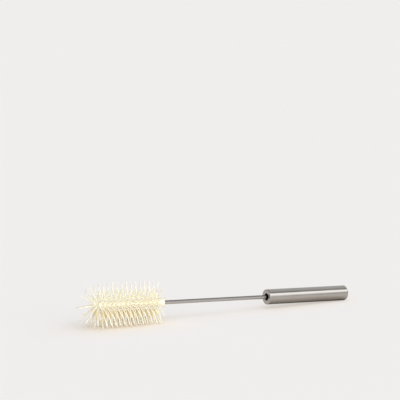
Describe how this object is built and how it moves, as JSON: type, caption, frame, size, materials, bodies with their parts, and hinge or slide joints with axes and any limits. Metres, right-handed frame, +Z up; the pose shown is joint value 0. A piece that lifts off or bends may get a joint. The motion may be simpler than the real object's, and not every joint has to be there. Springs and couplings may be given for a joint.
{
  "type": "bottle brush",
  "caption": "Bottle brush with a moulded silicone head on a straight steel rod and a round steel tube handle, lying on a flat surface.",
  "frame": {"origin": "on the surface that the brush lies on, below the middle of its bounding box", "axes": "+X towards the closed end of the handle, the head at -X, +Z up; the brush's own axis lies in the XZ plane and rises towards the head"},
  "size_m": [0.3226, 0.0448, 0.0441],
  "materials": {
    "silicone": "matt moulded silicone, slightly translucent",
    "steel_tube": "stainless steel brushed along the handle",
    "steel_plug": "turned stainless steel",
    "steel_rod": "drawn stainless steel, satin"
  },
  "bodies": {
    "root": {"handle_shell": "steel_tube", "handle_plug": "steel_plug", "rod": "steel_rod", "brush_head": "silicone"}
  },
  "joints": []
}
